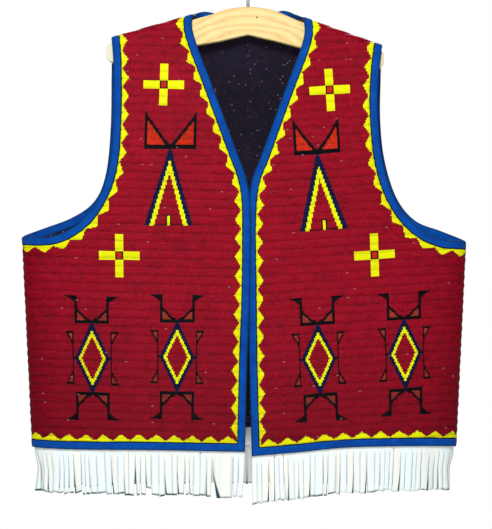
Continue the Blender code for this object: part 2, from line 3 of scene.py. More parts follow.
import bmesh
import bpy
import numpy as np
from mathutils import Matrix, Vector


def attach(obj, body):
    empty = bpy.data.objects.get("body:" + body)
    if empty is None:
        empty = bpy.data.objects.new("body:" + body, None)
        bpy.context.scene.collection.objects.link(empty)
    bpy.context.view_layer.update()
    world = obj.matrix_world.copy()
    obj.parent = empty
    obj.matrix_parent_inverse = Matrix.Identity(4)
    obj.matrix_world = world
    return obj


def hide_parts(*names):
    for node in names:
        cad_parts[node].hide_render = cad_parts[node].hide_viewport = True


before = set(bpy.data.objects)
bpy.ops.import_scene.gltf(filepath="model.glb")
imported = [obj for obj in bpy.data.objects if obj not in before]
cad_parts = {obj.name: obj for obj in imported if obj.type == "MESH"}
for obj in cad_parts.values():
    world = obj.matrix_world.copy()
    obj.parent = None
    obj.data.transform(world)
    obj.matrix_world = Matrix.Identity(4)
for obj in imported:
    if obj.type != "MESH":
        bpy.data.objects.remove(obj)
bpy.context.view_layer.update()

right, left = -1, 1  # the wearer's sides, as signs of X
front, back = -1, 1  # the vest's faces, as signs of Y
words = {right: "right", left: "left"}
draw = np.random.default_rng(7)

# How the flat panels hang, in metres, with the same sizes as the CAD
vest = {
    "centre": -0.005, "ridge": -0.0655, "curl": 0.0095, "neckStand": 0.065, "neckRun": 0.014,
    "chest": 0.2865, "taper": 0.0135, "underarm": -0.360, "hem": -0.640, "spread": 0.20,
    "depth": {(front, right): 0.0425, (front, left): 0.038, (back, right): 0.038, (back, left): 0.038},
    "inner": {right: 0.040, left: 0.046}, "fall": {right: 0.283, left: 0.356},
    "neck": {right: 0.065, left: 0.076}, "tip": {right: 0.172, left: 0.179},
    "tilt": {right: 0.021, left: 0.058},
    "hide": 0.0014, "seam": 0.0004, "binding": 0.011,
}

# Edges: out from the centre line, down from the hook
armholeRows = {
    (front, right): ((0.169, 0.135), (0.168, 0.207), (0.172, 0.267), (0.185, 0.307), (0.209, 0.340),
                     (0.245, 0.359), (0.2865, 0.360)),
    (front, left): ((0.174, 0.150), (0.172, 0.200), (0.177, 0.260), (0.191, 0.306), (0.216, 0.342),
                    (0.250, 0.362), (0.2865, 0.366)),
    (back, right): ((0.173, 0.150), (0.175, 0.219), (0.182, 0.278), (0.197, 0.313), (0.225, 0.334),
                    (0.260, 0.348), (0.2865, 0.360)),
    (back, left): ((0.178, 0.155), (0.178, 0.206), (0.184, 0.258), (0.200, 0.308), (0.224, 0.338),
                   (0.257, 0.352), (0.2865, 0.366)),
}
openingRows = {
    right: ((0.0665, 0.095), (0.041, 0.166), (0.012, 0.245), (-0.003, 0.287), (-0.008, 0.330),
            (-0.007, 0.441), (-0.004, 0.520), (-0.001, 0.635)),
    left: ((0.077, 0.104), (0.052, 0.173), (0.024, 0.251), (0.009, 0.292), (0.0045, 0.345),
           (0.0055, 0.420), (0.007, 0.520), (0.0105, 0.641)),
}
hemRows = {
    right: ((0.121, 0.633), (0.230, 0.633), (0.2865, 0.632)),
    left: ((0.072, 0.636), (0.140, 0.630), (0.230, 0.629), (0.2865, 0.631)),
}
hemBackRows = ((0.0, 0.630), (0.15, 0.630), (0.2865, 0.632))
neckBackRows = ((0.055, 0.0015), (0.043, 0.006), (0.022, 0.013), (0.0, 0.015))  # down from the shoulders


def ease(part):
    part = np.clip(part, 0, 1)
    return part * part * (3 - 2 * part)


# A quarter of the oval section: angle, share of the width, and girth
angles = np.radians(np.arange(0, 100.25, 0.25))
shares = np.sin(angles) ** (2 / 3)
steps = np.hypot(np.diff(shares) * vest["chest"], np.diff(np.cos(angles)) * vest["depth"][back, left])
girths = np.concatenate([[0], np.cumsum(steps)])
sideGirth = np.interp(math.pi / 2, angles, girths)
quarter = 361  # so many of the angles reach 90 degrees


def girthAt(out):
    share = np.clip(np.abs(out) / vest["chest"], 0, 1)
    return np.copysign(np.interp(share, shares[:quarter], girths[:quarter]), out)


def bySide(girth, sizes):
    return np.where(girth > 0, sizes[left], sizes[right])


# Height of the shoulder line along the inside of the wall
def ridgeAt(girth):
    out = vest["chest"] * np.interp(np.minimum(np.abs(girth), sideGirth), girths, shares)
    return vest["ridge"] - bySide(girth, vest["fall"]) * np.maximum(0, out - bySide(girth, vest["inner"]))


def seamLevel(girth):
    return ridgeAt(girth) - vest["seam"] / 2


# The place on the hung wall's inside of flat points, girth sideways and level up
def hang(girth, level, face, side=None):
    angle = np.interp(np.abs(girth), girths, angles)
    share = np.interp(np.abs(girth), girths, shares)
    top = ridgeAt(girth)
    down = top - level
    turn = np.minimum(down / vest["curl"], math.pi / 2)
    opened = ease(down / vest["spread"])
    sizes = {each: vest["depth"][face, side or each] for each in (right, left)}
    stand = ease((vest["neckStand"] - vest["chest"] * share) / vest["neckRun"]) if face == back else 0.0
    fold = vest["curl"] * (np.sin(turn) * (1 - stand) + stand)
    quarterTurn = vest["curl"] * math.pi / 2
    curled = top - vest["curl"] * (1 - np.cos(turn)) - np.maximum(0, down - quarterTurn)
    upright = level + quarterTurn - vest["curl"]
    lower = np.clip((vest["underarm"] - level) / (vest["underarm"] - vest["hem"]), 0, 1)
    x = vest["centre"] + np.copysign((vest["chest"] - vest["taper"] * lower) * share, girth)
    y = fold * (1 - opened) + bySide(girth, sizes) * np.cos(angle) * opened
    return np.stack([x, face * y, curled * (1 - stand) + upright * stand], axis=-1)


# The same place lifted off the wall's inside, and the direction of that lift
def hangOff(flat, lift, face, side=None, reach=0.0004):
    girth, level = flat[:, 0], flat[:, 1]
    across = hang(girth + reach, level, face, side) - hang(girth - reach, level, face, side)
    up = hang(girth, level + reach, face, side) - hang(girth, level - reach, face, side)
    outward = np.cross(across, up) * -face
    outward /= np.linalg.norm(outward, axis=1)[:, None]
    return hang(girth, level, face, side) + outward * np.reshape(lift, (-1, 1)), outward


def flatPoint(out, down, side):
    girth = side * girthAt(out)
    drop = ridgeAt(girth) + down
    arc = vest["curl"] * math.acos(np.clip(1 - drop / vest["curl"], 0, 1))
    return np.array([girth, ridgeAt(girth) - arc - max(0.0, drop - vest["curl"])])


def shoulderPoint(out, side, down=0.0):
    girth = side * girthAt(out)
    return np.array([girth, seamLevel(girth) - down])


def atSideSeam(point):
    return np.array([math.copysign(sideGirth - vest["seam"] / 2, point[0]), point[1]])


def lengthsAlong(line):
    return np.concatenate([[0], np.cumsum(np.linalg.norm(np.diff(line, axis=0), axis=1))])


def walk(line, marks):
    lengths = lengthsAlong(line)
    return np.stack([np.interp(marks, lengths, line[:, 0]), np.interp(marks, lengths, line[:, 1])], axis=1)


# A smooth curve through the rows, walked in even steps
def smoothLine(points, step=0.003):
    points = np.array(points)
    ends = np.vstack([2 * points[0] - points[1], points, 2 * points[-1] - points[-2]])
    part = (np.arange(24) / 24)[:, None]
    spans = []
    for before, start, end, after in zip(ends, ends[1:], ends[2:], ends[3:]):
        pull = (end - before) * 0.5 * (part - 2 * part**2 + part**3)
        push = (after - start) * 0.5 * (part**3 - part**2)
        spans.append(start * (1 - ease(part)) + end * ease(part) + pull + push)
    curve = np.vstack([*spans, points[-1:]])
    total = lengthsAlong(curve)[-1]
    return walk(curve, np.linspace(0, total, round(total / step) + 1))


def armholeLegs(face, side):
    rows = [shoulderPoint(vest["tip"][side], side)]
    rows += [flatPoint(out, down, side) for out, down in armholeRows[face, side]]
    rows[-1] = atSideSeam(rows[-1])
    return [smoothLine(rows)]


def openingLegs(side):
    rows = [shoulderPoint(vest["neck"][side], side)]
    rows += [flatPoint(out, down, side) for out, down in openingRows[side]]
    hem = [rows[-1]] + [flatPoint(out, down, side) for out, down in hemRows[side]]
    hem[-1] = atSideSeam(hem[-1])
    return [smoothLine(rows), smoothLine(hem)]


def neckBackLegs():
    rows = []
    for side, table in ((right, neckBackRows), (left, neckBackRows[-2::-1])):
        points = [shoulderPoint(out, side, down) for out, down in table]
        corner = shoulderPoint(vest["neck"][side], side)
        rows += [corner, *points] if side == right else [*points, corner]
    return [smoothLine(rows)]


def hemBackLegs():
    rows = [flatPoint(out, down, right) for out, down in reversed(hemBackRows)]
    rows += [flatPoint(out, down, left) for out, down in hemBackRows[1:]]
    rows[0], rows[-1] = atSideSeam(rows[0]), atSideSeam(rows[-1])
    return [smoothLine(rows)]


def shoulderWay(side, inwards):
    way = shoulderPoint(vest["neck"][side], side) - shoulderPoint(vest["tip"][side], side)
    return way if inwards else -way


def unit(way):
    return way / np.linalg.norm(way)


# The line a width inside an edge, point for point, mitred where two legs meet
def insetLegs(legs, width, inward, startWay=None, endWay=None):
    inner = []
    for leg in legs:
        way = np.gradient(leg, axis=0)
        way /= np.linalg.norm(way, axis=1)[:, None]
        inner.append(leg + np.stack([-way[:, 1], way[:, 0]], axis=1) * inward * width)
    for way, leg, line, index in ((startWay, legs[0], inner[0], 0), (endWay, legs[-1], inner[-1], -1)):
        if way is not None:
            normal = unit(line[index] - leg[index])
            line[index] = leg[index] + unit(way) * width / unit(way).dot(normal)
    if len(legs) == 2:
        corner = legs[1][0]
        first, second = unit(inner[0][-1] - corner), unit(inner[1][0] - corner)
        mitre = corner + (first + second) * width / (1 + first.dot(second))
        inner[0][(inner[0] - mitre) @ (legs[0][-1] - legs[0][-2]) > 0] = mitre
        inner[1][(inner[1] - mitre) @ (legs[1][1] - legs[1][0]) < 0] = mitre
    return np.vstack([inner[0], *(line[1:] for line in inner[1:])])


# Each bound edge: its line, its inward side, and the ways along which its ends slide
up, downward = np.array([0.0, 1.0]), np.array([0.0, -1.0])
edges = {"neck_back": (neckBackLegs(), -1, None, None), "hem_back": (hemBackLegs(), 1, up, up)}
for side in (right, left):
    edges["front", side] = (openingLegs(side), side, shoulderWay(side, False), up)
    for face in (front, back):
        edges["armhole", face, side] = (armholeLegs(face, side), -side, shoulderWay(side, True), downward)


def edgeLine(key):
    legs = edges[key][0]
    return np.vstack([legs[0], *(leg[1:] for leg in legs[1:])])


def insetLine(key, width):
    legs, inward, startWay, endWay = edges[key]
    inner = insetLegs(legs, width, inward, startWay, endWay)
    inner[:, 1] = np.minimum(inner[:, 1], seamLevel(inner[:, 0]))
    return inner


farOff = 9.0  # metres, further than any edge


# How far points are inside a line, and how far along it
def nearest(points, line, inward):
    lengths = lengthsAlong(line)
    best = np.full(len(points), farOff)
    inside, along = np.zeros(len(points)), np.zeros(len(points))
    for start, end, length in zip(line, line[1:], lengths):
        way = end - start
        size = np.hypot(*way)
        if size < 1e-9:
            continue
        way = way / size
        gap = points - start
        part = np.clip(gap @ way, 0, size)
        distance = np.hypot(gap[:, 0] - way[0] * part, gap[:, 1] - way[1] * part)
        closer = distance < best
        best[closer] = distance[closer]
        turned = (way[0] * gap[:, 1] - way[1] * gap[:, 0]) * inward
        inside[closer] = np.where(turned > 0, distance, -distance)[closer]
        along[closer] = (length + part)[closer]
    return inside, along


# Materials, from colours in screen shares of 255
def linear(red, green, blue):
    shares = np.array([red, green, blue]) / 255
    return tuple(np.where(shares <= 0.04045, shares / 12.92, ((shares + 0.055) / 1.055) ** 2.4)) + (1.0,)


def sumOf(operation, reflected=False):  # one Math node's operation as a method
    def method(self, *others):
        values = (*others, self) if reflected else (self, *others)
        return self.paint.node("ShaderNodeMath", {"operation": operation}, dict(enumerate(values)))
    return method


class Value:  # a shader socket that works in Python sums
    def __init__(self, paint, socket):
        self.paint, self.socket = paint, socket

    __add__, __radd__ = sumOf("ADD"), sumOf("ADD", True)
    __sub__, __rsub__ = sumOf("SUBTRACT"), sumOf("SUBTRACT", True)
    __mul__, __rmul__ = sumOf("MULTIPLY"), sumOf("MULTIPLY", True)
    __truediv__, __pow__ = sumOf("DIVIDE"), sumOf("POWER")
    __gt__, __abs__ = sumOf("GREATER_THAN"), sumOf("ABSOLUTE")
    fraction, floor, atLeast = sumOf("FRACT"), sumOf("FLOOR"), sumOf("MAXIMUM")

    def offMiddle(self):  # 0 half way between whole numbers, 1 at them
        return abs(self.fraction() * 2 - 1)


class Paint:  # one material and its nodes
    def __init__(self, name, **fixed):
        self.material = bpy.data.materials.new(name)
        self.material.use_nodes = True
        self.tree = self.material.node_tree
        self.shader = self.tree.nodes["Principled BSDF"]
        for socket, value in fixed.items():
            self.shader.inputs[socket.replace("_", " ")].default_value = value

    def node(self, kind, settings=None, sockets=None, out=0):
        made = self.tree.nodes.new(kind)
        for key, value in (settings or {}).items():
            if key == "stops":
                ramp = made.color_ramp.elements
                while len(ramp) < len(value):
                    ramp.new(0.5)
                for element, (place, colour) in zip(ramp, value):
                    element.position, element.color = place, colour
            else:
                setattr(made, key, value)
        for key, value in (sockets or {}).items():
            if isinstance(value, Value):
                self.tree.links.new(value.socket, made.inputs[key])
            else:
                made.inputs[key].default_value = value
        return Value(self, made.outputs[out])

    def mix(self, part, first, second, blend="MIX"):
        settings = {"data_type": "RGBA", "blend_type": blend, "clamp_factor": True}
        return self.node("ShaderNodeMix", settings, {0: part, 6: first, 7: second}, out=2)

    def noise(self, scale, detail=3.0, roughness=0.55, where=None):
        grain = {"Scale": scale, "Detail": detail, "Roughness": roughness}
        return self.node("ShaderNodeTexNoise", {}, {**grain, "Vector": where or self.place()})

    def chance(self, x, y):  # a random value for each whole x and y
        cell = self.node("ShaderNodeCombineXYZ", {}, {0: x.floor(), 1: y.floor()})
        return self.node("ShaderNodeTexWhiteNoise", {"noise_dimensions": "2D"}, {"Vector": cell})

    def place(self, scale=(1, 1, 1)):
        where = self.node("ShaderNodeTexCoord", out=3)
        return self.node("ShaderNodeMapping", {}, {"Vector": where, "Scale": scale})

    def split(self, vector):
        return [self.node("ShaderNodeSeparateXYZ", {}, {0: vector}, out=index) for index in range(3)]

    def clothPlace(self):
        return self.split(self.node("ShaderNodeUVMap", {"uv_map": "cloth"}))[:2]

    def dimmed(self, colour, shade):
        grey = self.node("ShaderNodeCombineXYZ", {}, {0: shade, 1: shade, 2: shade})
        return self.mix(1.0, colour, grey, "MULTIPLY")

    def stained(self, part, colour, stain):
        return self.mix(part, colour, self.mix(1.0, colour, stain, "MULTIPLY"))

    def ramp(self, part, *stops):
        return self.node("ShaderNodeValToRGB", {"stops": stops}, {0: part})

    def bump(self, height, distance, strength):
        sockets = {"Height": height, "Distance": distance, "Strength": strength}
        return self.node("ShaderNodeBump", {}, sockets)

    def feed(self, **links):
        for socket, value in links.items():
            self.tree.links.new(value.socket, self.shader.inputs[socket.replace("_", " ")])
        return self.material


# Glass beads: every bead shaded round from its own column and row
beadLook = {"column": 0.00175, "perLane": 8, "lane": 0.011, "bump": 0.0004, "specks": 0.987}


def beadPaint():
    paint = Paint("glass_beads", Specular_IOR_Level=0.08)
    colour = paint.node("ShaderNodeAttribute", {"attribute_name": "beads"})
    column, row = paint.clothPlace()
    lane = row / beadLook["perLane"]
    dome = (1 - column.offMiddle() ** 3) * (1 - row.offMiddle() ** 3)
    chance = paint.chance(column, row)
    patch = paint.noise(60.0, 4.0, 0.6, paint.place((1, 1, 1.8)))
    broken = paint.noise(42.0, 3.0, 0.6)
    dark = 1 - paint.split(colour)[1] * 0.9  # the pale colours get less mottle and painted shade
    mottle = ((chance - 0.5) * 0.34 + (patch - 0.5) * 0.9) * dark
    # painted shade: each bead darker towards its rim, and broken dark lines along the joins between lanes;
    # mottle adds random tone
    shade = 1.0 - (1 - dome) * 0.2 - lane.offMiddle() ** 6 * (broken * 0.9 - 0.22) + mottle
    toned = paint.dimmed(colour, shade)
    cloud = paint.noise(7.0, 3.0)
    toned = paint.stained((cloud - 0.45) * 1.1, toned, linear(225, 150, 235))

    # painted shade darkens the hem and the sides, with some patchy tone, and bare thread shows as pale
    # specks between lanes
    x, _, z = paint.split(paint.place())
    hemAndSideShade = ((-0.43 - z) * 3.4).atLeast(0.0) + ((abs(x) - 0.235) * 9).atLeast(0.0) + (patch - 0.5) * 0.3
    toned = paint.stained(hemAndSideShade * dark, toned, linear(196, 150, 205))
    speck = paint.chance(column * 0.6, lane + 0.15)
    bare = (speck > beadLook["specks"]) * (lane.fraction() > 0.86)
    toned = paint.mix(bare * 0.3, toned, linear(216, 150, 162))
    rough = 0.32 + chance * 0.25 + bare * 0.3
    return paint.feed(Base_Color=toned, Roughness=rough, Normal=paint.bump(dome, beadLook["bump"], 0.6))


def bindingPaint():
    paint = Paint("binding_cloth_blue", Specular_IOR_Level=0.08, Sheen_Weight=0.04, Sheen_Roughness=0.5)
    along, across = paint.clothPlace()
    weave = (along * 2000).offMiddle() * 0.5 + (across * 22).offMiddle() * 0.5
    cloudy = paint.noise(60.0, 4.0)
    base = paint.ramp(cloudy, (0.3, linear(0, 62, 148)), (0.7, linear(0, 82, 174)))
    base = paint.mix(weave * 0.2, base, linear(2, 30, 92))
    # painted shadow: a dark line along the binding's inner edge, where it meets the beads
    innerEdgeShadow = (across - 0.82) * 16
    dashes = ((along * 330).fraction() > 0.35) * (1 - abs(across - 0.72) * 40 > 0)
    base = paint.mix(dashes * 0.3, base, linear(24, 100, 205))
    # painted shade: darker teal along the rolled fold of the binding
    base = paint.mix((0.22 - abs(across)) * 4, base, linear(0, 48, 86))
    base = paint.mix(innerEdgeShadow, base, linear(4, 10, 26))
    bump = paint.bump(weave + cloudy * 0.6, 0.00012, 0.6)
    return paint.feed(Base_Color=base, Roughness=0.72 + weave * 0.16, Normal=bump)


def fringePaint():
    paint = Paint("fringe_hide_white", Specular_IOR_Level=0.15)
    strands = paint.node("ShaderNodeAttribute", {"attribute_name": "strand"}, out=1)
    along, down, strand = paint.split(strands)
    chance = paint.node("ShaderNodeTexWhiteNoise", {"noise_dimensions": "1D"}, {"W": strand.floor()})
    cool, cream = linear(242, 254, 255), linear(252, 250, 238)
    patch = paint.noise(26.0, 4.0, 0.6)
    warmth = paint.ramp(chance * 0.5 + patch * 0.5, (0.4, (0, 0, 0, 1)), (0.8, (1, 1, 1, 1)))
    base = paint.mix(warmth, cool, cream)
    nap = paint.noise(900.0, 3.0, 0.6, paint.place((1, 1, 0.25)))
    base = paint.mix(nap * 0.14, base, linear(200, 210, 212))
    # painted shade: soft vertical streaks stand in for shallow folds in the strands
    foldShade = paint.noise(60.0, 3.0, 0.5, paint.place((1, 1, 0.06)))
    base = paint.mix((foldShade - 0.5) * 1.2, base, linear(200, 212, 212))
    # painted shade: both cut edges of each strand go grey below the slit tops, where the slits lie in
    # shade
    slitShade = abs(along) ** 12
    base = paint.mix(slitShade * (down > 0) * 0.3, base, linear(128, 146, 150))
    # painted shadow: on some strands a dark wedge widens down one cut edge, standing in for a shaded gap
    wedgeShadow = (along + down ** 2 * 0.6 * (chance > 0.6) - 1) * 7
    base = paint.mix(wedgeShadow, base, linear(46, 78, 82))
    x = paint.split(paint.place())[0]
    # painted shade: the strand ends darken to teal in patches, more towards -x, standing in for their
    # shaded cut edges
    tip = (down - 0.94).atLeast(0.0) * 24 * (patch * 6 - 2.4 - x * 2.5)
    base = paint.mix(tip, base, linear(18, 84, 82))
    bump = paint.bump(nap, 0.0002, 0.5)
    return paint.feed(Base_Color=base, Roughness=0.78 + nap * 0.16, Normal=bump)


def hidePaint():
    paint = Paint("tanned_hide_inside", Specular_IOR_Level=0.2, Sheen_Weight=0.3, Sheen_Roughness=0.6)
    smoke = paint.noise(9.0, 5.0, 0.6)
    nap = paint.noise(700.0, 4.0, 0.65)
    base = paint.ramp(smoke, (0.3, linear(232, 214, 178)), (0.7, linear(206, 182, 140)))
    base = paint.mix(nap * 0.3, base, linear(168, 140, 98))
    bump = paint.bump(nap + smoke, 0.0004, 0.6)
    return paint.feed(Base_Color=base, Roughness=0.82 + nap * 0.14, Normal=bump)


def liningPaint():
    paint = Paint("lining_calico", Specular_IOR_Level=0.2, Sheen_Weight=0.15, Sheen_Roughness=0.5)
    where = paint.place()
    x, _, z = paint.split(where)
    weave = (x * 1600).offMiddle() * 0.5 + (z * 1600).offMiddle() * 0.5
    cells = {"Scale": 330.0, "Vector": where, "Randomness": 1.0}
    spot = paint.node("ShaderNodeTexVoronoi", {"feature": "F1"}, cells)
    tint = paint.node("ShaderNodeTexVoronoi", {"feature": "F1"}, cells, out=1)
    pick = paint.split(tint)[0]
    sprig = 0.34 - spot > 0
    base = paint.ramp(paint.noise(16.0, 3.0), (0.3, linear(12, 9, 28)), (0.7, linear(24, 16, 40)))
    base = paint.mix(weave * 0.3, base, linear(6, 5, 16))
    base = paint.mix((pick > 0.7) * sprig * 0.35, base, linear(104, 34, 48))
    base = paint.mix((pick > 0.93) * sprig * 0.5, base, linear(128, 118, 152))
    bump = paint.bump(weave, 0.00015, 0.5)
    return paint.feed(Base_Color=base, Roughness=0.8 + weave * 0.12, Normal=bump)


def woodPaint():
    paint = Paint("hanger_maple", Specular_IOR_Level=0.45, Coat_Roughness=0.3)
    grainPlace = paint.place((2.2, 30, 34))
    waver = paint.noise(3.0, 4.0, 0.5, grainPlace)
    x, y, z = paint.split(paint.place())
    rings = (z * 90 + y * 40 + x * x * 400 + waver * 1.6).offMiddle()
    fibres = paint.noise(30.0, 6.0, 0.6, paint.place((3, 120, 120)))
    pale, gold = linear(246, 226, 158), linear(236, 202, 126)
    base = paint.ramp(rings * 0.7 + waver * 0.3, (0.1, pale), (0.9, gold))
    base = paint.mix(rings ** 5 * 0.42, base, linear(208, 156, 84))
    base = paint.mix(fibres * 0.3, base, linear(214, 170, 96))
    base = paint.mix((abs(x) - 0.168) * 70, base, linear(226, 228, 208))
    rough = 0.38 + fibres * 0.25
    return paint.feed(Base_Color=base, Roughness=rough, Normal=paint.bump(fibres, 0.0002, 0.5))


def wirePaint(name, dark, pale, rough):
    paint = Paint(name, Metallic=1.0)
    wear = paint.noise(160.0, 5.0, 0.6)
    scratches = paint.noise(40.0, 3.0, 0.6, paint.place((12, 12, 1)))
    base = paint.ramp(wear, (0.3, dark), (0.75, pale))
    bump = paint.bump(wear, 0.00005, 0.4)
    return paint.feed(Base_Color=base, Roughness=rough + scratches * 0.25, Normal=bump)


def stagePaint():
    white = (1, 1, 1, 1)
    paint = Paint("studio_floor", Roughness=0.9, Emission_Color=white, Emission_Strength=studio["glow"])
    x, y = paint.split(paint.place())[:2]
    out = (x * x + y * y) ** 0.5 / studio["size"]
    tone = paint.ramp(paint.noise(0.6, 2.0), (0.3, linear(243, 243, 243)), (0.7, linear(248, 248, 248)))
    return paint.feed(Base_Color=tone, Alpha=paint.ramp(out, (0.25, white), (0.95, (0, 0, 0, 1))))


paints = {
    "beads": beadPaint(), "binding": bindingPaint(), "fringe": fringePaint(), "hide": hidePaint(),
    "lining": liningPaint(), "wood": woodPaint(),
    "wire": wirePaint("hook_steel", linear(136, 160, 170), linear(208, 226, 232), 0.2),
    "nail": wirePaint("nail_iron", linear(58, 46, 40), linear(96, 80, 70), 0.45),
}
print("materials made")


def readAll(items, name, width=3, kind=np.float32):
    values = np.zeros(len(items) * width, dtype=kind)
    items.foreach_get(name, values)
    return values.reshape(-1, width)


def vertsOf(mesh):
    return readAll(mesh.vertices, "co").astype(float)


def cornerVerts(mesh):
    return readAll(mesh.loops, "vertex_index", 1, np.int32).ravel()


# Puts a flat mesh's points in place, with its faces turned to the lifted side
def setPlaces(mesh, places, outward):
    mesh.vertices.foreach_set("co", places.astype(np.float32).ravel())
    mesh.update()
    if (readAll(mesh.vertices, "normal") * outward).sum() < 0:
        mesh.flip_normals()


def addUvs(mesh, uvs):
    layer = mesh.uv_layers.new(name="cloth")
    layer.data.foreach_set("uv", uvs[cornerVerts(mesh)].astype(np.float32).ravel())


def makeMesh(name, bm):
    mesh = bpy.data.meshes.new(name)
    bm.to_mesh(mesh)
    bm.free()
    return mesh


def addObject(name, data):
    made = bpy.data.objects.new(name, data)
    bpy.context.scene.collection.objects.link(made)
    return made


def addPiece(name, mesh, paint, nodes=()):
    mesh.materials.append(paints[paint])
    mesh.shade_smooth()
    piece = addObject(name, mesh)
    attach(piece, "root")
    if nodes:
        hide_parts(*nodes)
    return piece


def thicken(piece, thickness):
    wall = piece.modifiers.new("thickness", "SOLIDIFY")
    wall.thickness = thickness
    wall.offset = -1


# A grid of cells that keeps only those that a test wants, as a mesh in the plane
def cellMesh(name, firsts, counts, sizes, wanted):
    bm = bmesh.new()
    bmesh.ops.create_grid(bm, x_segments=counts[0], y_segments=counts[1], size=0.5)
    spans = [count * size for count, size in zip(counts, sizes)]
    bmesh.ops.scale(bm, vec=(spans[0], spans[1], 1), verts=bm.verts)
    middle = [first + span / 2 for first, span in zip(firsts, spans)]
    bmesh.ops.translate(bm, vec=(middle[0], middle[1], 0), verts=bm.verts)
    centres = np.array([cell.calc_center_median()[:2] for cell in bm.faces])
    unwanted = [cell for cell, kept in zip(bm.faces, wanted(centres)) if not kept]
    bmesh.ops.delete(bm, geom=unwanted, context="FACES")
    return makeMesh(name, bm)


# Panels: the front's lanes tilt, and flat places turn into lane places and back
def laneSlope(face, side):
    return side * vest["tilt"][side] if face == front else 0.0


def toLanes(flat, slope):
    return np.stack([flat[:, 0] + slope * flat[:, 1], flat[:, 1] - slope * flat[:, 0]], axis=1)


def fromLanes(lanes, slope):
    both = np.stack([lanes[:, 0] - slope * lanes[:, 1], lanes[:, 1] + slope * lanes[:, 0]], axis=1)
    return both / (1 + slope * slope)


def panelEdges(face, side):
    if face == front:
        return [("front", side), ("armhole", front, side)]
    return ["neck_back", "hem_back", ("armhole", back, right), ("armhole", back, left)]


def pastEnds(line, along):
    return (along < 1e-6) | (along > lengthsAlong(line)[-1] - 1e-6)


# How far points are inside a panel's bound edges; the back neck's strip ends square at the shoulders
def depthInside(flat, face, side):
    depths = []
    for key in panelEdges(face, side):
        line = edgeLine(key)
        inside, along = nearest(flat, line, edges[key][1])
        if key == "neck_back":
            inside[pastEnds(line, along)] = farOff
        depths.append(inside)
    return np.min(depths, axis=0)


# The cells of a panel, a margin inside its bound edges and up to its seams
def panelMesh(name, face, side, cell, margin, half=None):
    slope = laneSlope(face, side)
    outline = np.vstack([edgeLine(key) for key in panelEdges(face, side)])
    lanes = toLanes(outline, slope)
    low, high = lanes.min(axis=0), lanes.max(axis=0)
    if half:
        low[0], high[0] = (0.0, high[0]) if half == left else (low[0], 0.0)
    firsts = [math.floor(low[0] / cell[0]) * cell[0], math.floor(low[1] / cell[1]) * cell[1]]
    counts = [math.ceil((high[0] - firsts[0]) / cell[0]), math.ceil((high[1] - firsts[1]) / cell[1]) + 2]

    def wanted(centres):
        flat = fromLanes(centres, slope)
        inWidth = np.abs(flat[:, 0]) < sideGirth - vest["seam"] / 2
        below = flat[:, 1] < seamLevel(flat[:, 0])
        return inWidth & below & (depthInside(flat, face, side) > margin)

    mesh = cellMesh(name, firsts, counts, cell, wanted)
    return mesh, vertsOf(mesh)[:, :2], slope


def stayInSeams(flat):
    limit = sideGirth - vest["seam"] / 2
    level = np.minimum(flat[:, 1], seamLevel(flat[:, 0]))
    return np.stack([np.clip(flat[:, 0], -limit, limit), level], axis=1)


# Motifs, in metres from their own middle, sideways and up along the lanes
beadCell = np.array([beadLook["column"], beadLook["lane"] / beadLook["perLane"]])
palette = {
    "red": linear(152, 4, 32), "yellow": linear(246, 252, 4), "navy": linear(4, 20, 62),
    "black": linear(2, 2, 8), "orange": linear(200, 42, 16), "rust": linear(154, 54, 40),
}
motifs = {
    "cross": {right: ((-0.1003, -0.1714), (-0.1530, -0.3935)),
              left: ((0.0996, -0.1835), (0.1455, -0.3987)),
              "half": 0.0264, "halfTall": 0.0275, "arm": 0.0054, "square": 0.0040, "rim": 0.0058},
    "tipi": {right: ((-0.0900, -0.2544),), left: ((0.0785, -0.2640),),
             "tall": 0.0986, "lean": 0.0, "navy": (-0.0046, 0.300), "yellow": (0.0140, 0.287),
             "inside": (0.0305, 0.274), "door": (0.0018, 0.0124), "doorRim": 0.0016, "sill": 0.0016,
             "wing": (0.0328, 0.0422, 1.15), "line": 0.0042,
             "own": {left: {"wing": (0.0298, 0.0400, 1.15), "lean": 0.030,
                            "yellow": (0.0160, 0.292), "inside": (0.0330, 0.280)}}},
    "figure": {right: ((-0.1882, -0.5246), (-0.0766, -0.5211)),
               left: ((0.0676, -0.5275), (0.1815, -0.5279)),
               "navy": (0.0232, 0.0475), "yellow": (0.0178, 0.0362), "inside": (0.0141, 0.0282),
               "wing": (0.0229, 0.0195, 1.35), "wingLow": 0.0460, "line": 0.0034, "thin": 0.0018,
               "stem": 0.0685, "flag": (0.0350, 0.0795), "bracket": 0.0254,
               "hand": (0.0356, 0.0338, 0.0150)},
}
bands = (("navy", "navy"), ("yellow", "yellow"), ("inside", "red"))  # outermost first
teeth = {"period": 0.0243, "frontPeriod": 0.0242, "start": 0.0030, "rise": 0.0077, "foot": 0.0008}


def paintCross(colours, u, v, sizes):
    tall, wide = np.maximum(np.abs(u), np.abs(v)), np.minimum(np.abs(u), np.abs(v))
    reach = np.where(np.abs(v) > np.abs(u), sizes["halfTall"], sizes["half"])
    colours[(tall < reach) & (wide < sizes["arm"])] = palette["yellow"]
    colours[tall < sizes["rim"]] = palette["black"]
    colours[tall < sizes["square"]] = palette["orange"]


# A pointed wing: flat below, a hollow curve above, upright at its outer end
def paintWing(colours, w, v, wing, line, fill):
    reach, rise, power = wing
    top = rise * (w / reach) ** power
    slant = line * math.hypot(reach, rise) / reach
    inside = (v > -line / 2) & (v < top + slant / 2) & (w < reach)
    colours[inside] = palette["black"]
    colours[inside & (v > line / 2) & (v < top - slant / 2) & (w < reach - line * 0.85)] = palette[fill]


